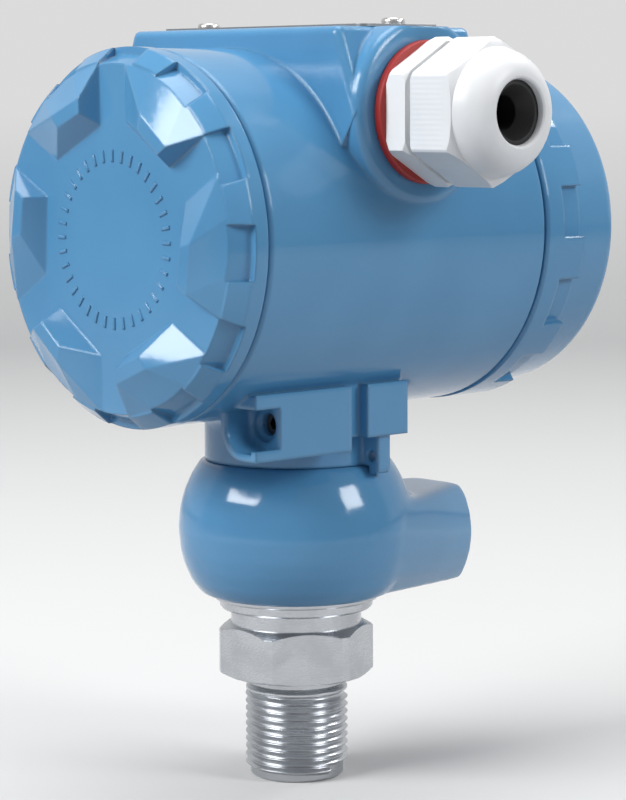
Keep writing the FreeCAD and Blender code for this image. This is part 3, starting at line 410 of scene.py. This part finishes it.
def finished(name, shape, body, material, slot, *replaced, crease=32):
    """Make a shape into a piece of the model."""
    piece = held(name, shape)
    piece.data.materials.append(material)
    piece.data.shade_smooth()
    piece.data.set_sharp_from_angle(angle=math.radians(crease))
    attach(piece, body)
    if replaced:
        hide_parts(*replaced)
    return piece


def solid_box(name):
    """Low and high corner of a solid, in millimetres."""
    low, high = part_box(name)
    return low / MM, high / MM


# ---- Process connection

thread_radius = 10.0
thread_root = 9.05
thread_pitch = 1.5
thread_start = 2.0
thread_end = 16.7
port_radius = 3.0
undercut_radius = 9.1
undercut_top = 20.5
hex_flats = 27.0
hex_turn = 27.0
hex_corner_flat = 1.9
hex_foot = 20.1
hex_top = 30.2
core_radius = 11.0
shoulder_radius = 12.7
shoulder_top = 33.3
step_radius = 14.9
step_top = 35.2
collar_radius = 16.2
collar_top = 37.5
stem_radius = 13.0
ring_room_radius = 11.05
capsule_room_radius = 9.55
seat_gap = 0.02


def make_thread():
    """One ridge wound round the stub from the thread's start to its end."""
    length = thread_end - thread_start
    turns = length / thread_pitch
    steps = round(72 * turns)
    foot, flank, crest = thread_root - 0.15, thread_radius - 0.1, thread_radius
    outline = [(foot, -0.78), (flank, -0.12), (crest, 0.0), (flank, 0.12), (foot, 0.78)]
    shape = bmesh.new()
    points = [shape.verts.new((radius * MM, 0, (thread_start + height) * MM))
              for radius, height in outline]
    edges = [shape.edges.new(pair) for pair in zip(points, points[1:] + points[:1])]
    bmesh.ops.spin(shape, geom=points + edges, cent=(0, 0, 0), axis=(0, 0, 1),
                   angle=-FULL_TURN * turns, steps=steps, dvec=(0, 0, length / steps * MM))
    bmesh.ops.holes_fill(shape, edges=shape.edges, sides=5)
    bmesh.ops.recalc_face_normals(shape, faces=shape.faces)
    return shape


def make_process_connection():
    """Turned bar with its seats, a hexagon whose corners are turned off, and a thread."""
    top = solid_box("process_connection")[1].z
    ring_seat = solid_box("sensor_lock_ring")[0].z - seat_gap
    capsule_foot = solid_box("sensor_capsule")[0].z
    capsule_seat = capsule_foot - seat_gap
    bar = spun([
        (port_radius, 0.3), (3.3, 0.0), (8.6, 0.0), (thread_root, 0.45), (thread_root, 16.6),
        (9.9, 17.1), (9.9, 17.5), (undercut_radius, 18.3), (undercut_radius, undercut_top),
        (core_radius, undercut_top), (core_radius, 30.0), (12.5, 30.0), (shoulder_radius, hex_top),
        (shoulder_radius, shoulder_top), (14.5, shoulder_top), (step_radius, 33.7),
        (step_radius, step_top), (15.9, step_top), (collar_radius, 35.5),
        (collar_radius, collar_top), (stem_radius, collar_top), (stem_radius, top),
        (ring_room_radius, top), (ring_room_radius, ring_seat), (capsule_room_radius, ring_seat),
        (capsule_room_radius, capsule_seat), (7.5, capsule_seat),
        (port_radius, capsule_foot - 2.0)])
    crown = spun([(0.0, hex_foot), (13.6, hex_foot), (15.6, 20.9), (15.6, 28.7), (13.1, hex_top),
                  (0.0, hex_top)])
    nut = kept_inside(hexagonal_bar(hex_flats, 20.0, 31.0, hex_turn, hex_corner_flat), crown)
    nut = cut(nut, spun([(0.0, 19.0), (10.5, 19.0), (10.5, 32.0), (0.0, 32.0)]))
    finished("process_connection_threaded", joined(bar, nut, make_thread()), "head", turned_steel,
             "turned_steel", "process_connection", crease=25)


# ---- Cable gland

gland_flats = 23.4
gland_corner_flat = 0.5
nut_waist = 7.0
nut_room_radius = 9.05
nut_throat_radius = 8.2
seal_room_radius = 6.6
nut_hole_radius = 5.8
washer_bore = 10.04
washer_radius = 13.05
washer_edge = 0.3


def set_in_gland(shape, name):
    """Lay a shape made about Z along the gland's axis, about the middle of a solid."""
    low, high = solid_box(name)
    return carried(rotated(shape, 90, "Y"), 0, (low.y + high.y) / 2, (low.z + high.z) / 2)


def make_gland_nut():
    """Cap nut: a hexagon that rounds over into a dome, open through its nose."""
    low, high = solid_box("gland_nut")
    foot, nose = low.x - 0.5, high.x
    dome = spun([(0.0, foot), (13.1, foot), (13.5, foot + 0.4), (13.5, nose - nut_waist)] + [
        (radius, nose - depth) for radius, depth in (
            (12.6, 6.1), (11.6, 5.7), (11.4, 5.0), (11.0, 3.6), (10.3, 2.3), (9.3, 1.2), (8.2, 0.4),
            (7.1, 0.0), (0.0, 0.0))])
    nut = kept_inside(hexagonal_bar(gland_flats, foot - 1, nose + 1, 30.0, gland_corner_flat), dome)
    room = spun([(0.0, foot - 1), (nut_room_radius, foot - 1)] + [
        (radius, nose - depth) for radius, depth in (
            (nut_room_radius, 5.8), (nut_throat_radius, 5.8), (nut_throat_radius, 3.2),
            (seal_room_radius, 2.6), (seal_room_radius, 1.3), (nut_hole_radius, 1.3),
            (nut_hole_radius, 0.7), (6.0, 0.25), (6.5, -0.1), (0.0, -0.1))])
    finished("gland_nut_domed", set_in_gland(cut(nut, room), "gland_nut"), "gland_nut",
             ribbed_nylon, "gland_plastic", "gland_nut", crease=24)


def make_gland_washer():
    """Red washer with its two outer rims broken."""
    low, high = (corner.x for corner in solid_box("gland_washer"))
    rim = washer_radius - 0.25
    shape = spun([(washer_bore, low), (rim, low), (washer_radius, low + washer_edge),
                  (washer_radius, high - washer_edge), (rim, high), (washer_bore, high)])
    finished("gland_washer_red", set_in_gland(shape, "gland_washer"), "housing", red_rubber,
             "red_rubber", "gland_washer")


# ---- Sensor head

head_foot = 36.0
ball_radius = 22.8
ball_middle = 49.0
ball_top = 62.44
collar_seat_radius = 16.25
stem_seat_radius = 13.05
stem_seat_top = 52.3
tail_middle = 44.3
tail_tip_half_width = 6.2
tail_tip_half_height = 9.8
tail_tip_round = 0.5
tail_tip_depth = 0.9
grain_size = 0.42
hollow_passes = 26
skin_passes = 9
bracket_hole_radius = 3.4
bracket_hole_depth = 12.0
spigot_radius = 14.5
spigot_bore = 10.0
seal_groove = (63.98, 66.02, 12.52)
lock_groove = (67.0, 70.6, 13.3)


def make_tail(rings, tip):
    """Convex form from part of the ball, as rings, to the points of a narrow tip."""
    shape = bmesh.new()
    for low, high, (lower, upper) in rings:
        middle = Matrix.Translation((0, 0, (low + high) / 2 * MM))
        bmesh.ops.create_cone(shape, cap_ends=False, segments=64, radius1=lower * MM,
                              radius2=upper * MM, depth=(high - low) * MM, matrix=middle)
    for half_width, reach, height in tip:
        for side in (-half_width, half_width):
            shape.verts.new((side * MM, reach * MM, height * MM))
    hull = bmesh.ops.convex_hull(shape, input=shape.verts)
    inner = [part for part in hull["geom_interior"] + hull["geom_unused"]
             if isinstance(part, bmesh.types.BMVert)]
    bmesh.ops.delete(shape, geom=inner, context="VERTS")
    return shape


def make_sensor_head():
    """Ball and bracket tail cast as one, with the seats bored out and the spigot on top."""
    high = solid_box("sensor_head")[1]
    ball = spun([(0.0, head_foot), (16.9, head_foot), (18.4, 36.5), (19.4, 37.6), (20.4, 39.0),
                 (21.7, 42.0), (22.45, 45.0), (ball_radius, ball_middle), (22.5, 52.6),
                 (21.6, 56.2), (20.1, 59.6), (18.5, 62.0), (18.2, ball_top), (0.0, ball_top)])
    tip = []
    for step in range(-4, 5):
        rise = math.sin(math.pi * step / 8)
        half_width = tail_tip_half_width + 3.3 * (1 - rise ** 2)
        shoulder = tail_middle + tail_tip_half_height * rise
        end = tail_middle + (tail_tip_half_height - tail_tip_round) * rise
        tip += [(half_width, high.y - tail_tip_depth, shoulder),
                (half_width - tail_tip_round, high.y, end)]
    tail = make_tail([(37.0, 41.0, (18.6, 21.3)), (41.0, 45.0, (21.3, 22.45)),
                      (45.0, ball_middle, (22.45, ball_radius)),
                      (ball_middle, 54.2, (ball_radius, 22.2))], tip)
    casting = worked(joined(ball, tail), "REMESH", mode="VOXEL", voxel_size=grain_size * MM)
    hollow = [vert for vert in casting.verts
              if vert.co.y > -6 * MM and 52 * MM < vert.co.z < 61 * MM]
    eased(casting, hollow, hollow_passes)
    eased(casting, casting.verts, skin_passes)
    casting = cut(casting, spun([
        (0.0, 20.0), (18.0, 20.0), (18.0, head_foot), (collar_seat_radius, head_foot),
        (collar_seat_radius, collar_top), (stem_seat_radius, collar_top),
        (stem_seat_radius, stem_seat_top), (spigot_bore, stem_seat_top), (spigot_bore, 70.0),
        (0.0, 70.0)]))
    mouth = bracket_hole_radius + 0.5
    hole = spun([(0.0, 0.0), (bracket_hole_radius, 0.0), (bracket_hole_radius, bracket_hole_depth),
                 (mouth, 12.5), (mouth, 14.0), (0.0, 14.0)], steps=48)
    hole = carried(rotated(hole, -90, "X"), 0, high.y - bracket_hole_depth, tail_middle)
    casting = cut(casting, hole)
    spigot = [(spigot_bore, 60.0), (spigot_radius, 60.0)]
    for low_edge, high_edge, groove_floor in (seal_groove, lock_groove):
        spigot += [(spigot_radius, low_edge), (groove_floor, low_edge), (groove_floor, high_edge),
                   (spigot_radius, high_edge)]
    spigot += [(spigot_radius, high.z), (spigot_bore, high.z)]
    finished("sensor_head_casting", joined(casting, spun(spigot)), "head", head_enamel,
             "blue_enamel", "sensor_head")


# ---- Front cover marks

cover_face = -44.2
tick_count = 36
tick_circle = 15.2
tick_size = (0.62, 0.6, 2.2)
tick_edge = 0.14


def make_cover_marks():
    """Ring of plain raised ticks on the blind cover."""
    low, high = solid_box("front_cover")
    shape = bmesh.new()
    for number in range(tick_count):
        tick = bmesh.ops.create_cube(shape, size=1.0)["verts"]
        bmesh.ops.scale(shape, verts=tick, vec=Vector(tick_size) * MM)
        front_edges = list({edge for vert in tick for edge in vert.link_edges
                            if edge.verts[0].co.y < 0 > edge.verts[1].co.y})
        tick += bmesh.ops.bevel(shape, geom=front_edges, affect="EDGES", offset=tick_edge * MM,
                                segments=2, profile=0.5, material=-1)["verts"]
        tick = list({vert for vert in tick if vert.is_valid})
        turn = Matrix.Rotation(FULL_TURN * number / tick_count, 3, "Y")
        bmesh.ops.translate(shape, verts=tick, vec=(0, cover_face * MM, tick_circle * MM))
        bmesh.ops.rotate(shape, verts=tick, matrix=turn)
    carried(shape, 0, 0, (low.z + high.z) / 2)
    finished("front_cover_ticks", shape, "front_cover", blue_enamel, "blue_enamel")


make_process_connection()
make_gland_nut()
make_gland_washer()
make_sensor_head()
make_cover_marks()


# ---- Floor, backdrop, light and camera, in metres

card_glow = 0.71
glow_height = 0.12
floor_reach = 5.0
bend_start = 0.9
bend_radius = 0.5
backdrop_top = 2.2
studio_turn = 47.5
lamps_aim = (0.0, 0.0, 0.08)
view_turn, view_rise, view_roll = 0.829, 0.114, -0.0037
view_place = (0.3848, -0.3480, 0.1329)
view_lens = 121.5
room_light = 0.40


def studio_paint():
    """Plain pale card that glows above the floor and throws little light on the object."""
    card = Finish("pale_card", Roughness=0.9)
    card.put("Specular IOR Level", 0.1)
    pale = card.mixed(card.noise(0.4, 2.0), (0.60, 0.60, 0.595), (0.63, 0.63, 0.625))
    bounced = card.node("ShaderNodeLightPath", output="Is Diffuse Ray")
    card.put("Base Color", card.mixed(bounced, pale, (0.30, 0.31, 0.33)))
    glow = card.node("ShaderNodeEmission", inputs={"Color": (card_glow,) * 3, "Strength": 1.0})
    raised = card.ramp(card.along(2), (0.0, 0.0), (glow_height, 1.0))
    card.cover((1 - bounced) * raised, glow)
    return card.material


def make_floor():
    """Floor that curves up into a backdrop behind the object."""
    shape = bmesh.new()
    profile = [(-floor_reach, 0.0), (bend_start, 0.0)]
    for turn in (0.3, 0.6, 0.9, 1.2, math.pi / 2):
        profile.append((bend_start + bend_radius * math.sin(turn),
                        bend_radius * (1 - math.cos(turn))))
    profile.append((bend_start + bend_radius, backdrop_top))
    points = [shape.verts.new((-floor_reach, along, height)) for along, height in profile]
    edges = [shape.edges.new(pair) for pair in zip(points, points[1:])]
    swept = [part for part in bmesh.ops.extrude_edge_only(shape, edges=edges)["geom"]
             if isinstance(part, bmesh.types.BMVert)]
    bmesh.ops.translate(shape, verts=swept, vec=(2 * floor_reach, 0, 0))
    floor = held("floor", rotated(shape, studio_turn, "Z"))
    floor.data.materials.append(studio_paint())
    floor.data.shade_smooth()


def softbox(name, place, size, power):
    """Rectangular lamp that faces the object."""
    lamp = bpy.data.lights.new(name, "AREA")
    lamp.shape = "RECTANGLE"
    lamp.size, lamp.size_y = size
    lamp.energy = power
    holder = bpy.data.objects.new(name, lamp)
    holder.location = place
    aim = Vector(lamps_aim) - Vector(place)
    holder.rotation_euler = aim.to_track_quat("-Z", "Y").to_euler()
    bpy.context.scene.collection.objects.link(holder)


def make_camera():
    """Camera a little above the object, turned between its front and its gland."""
    level = math.cos(view_rise)
    back = Vector((math.sin(view_turn) * level, -math.cos(view_turn) * level, math.sin(view_rise)))
    right = Vector((math.cos(view_turn), math.sin(view_turn), 0))
    up = back.cross(right)
    tilted_right = math.cos(view_roll) * right + math.sin(view_roll) * up
    tilted_up = math.cos(view_roll) * up - math.sin(view_roll) * right
    turned = Matrix((tilted_right, tilted_up, back)).transposed().to_4x4()
    view = bpy.data.cameras.new("view")
    view.lens = view_lens
    view.sensor_width = 36.0
    view.clip_start = 0.01
    camera = bpy.data.objects.new("view", view)
    camera.matrix_world = Matrix.Translation(view_place) @ turned
    bpy.context.scene.collection.objects.link(camera)
    bpy.context.scene.camera = camera


def light_room():
    """Even pale light from all round."""
    room = bpy.data.worlds.new("room")
    room.use_nodes = True
    background = room.node_tree.nodes["Background"]
    background.inputs["Color"].default_value = (0.9, 0.92, 0.95, 1.0)
    background.inputs["Strength"].default_value = room_light
    bpy.context.scene.world = room


make_floor()
softbox("key", (-0.205, -0.86, 0.65), (0.62, 0.37), 10.2)
softbox("side", (0.86, 0.36, 0.54), (0.34, 0.34), 4.6)
softbox("top", (-0.1, 0.1, 1.1), (0.7, 0.7), 6.5)
softbox("back", (0.12, 0.88, 0.90), (0.24, 0.22), 2.4)
make_camera()
light_room()
bpy.context.scene.view_settings.view_transform = "Standard"
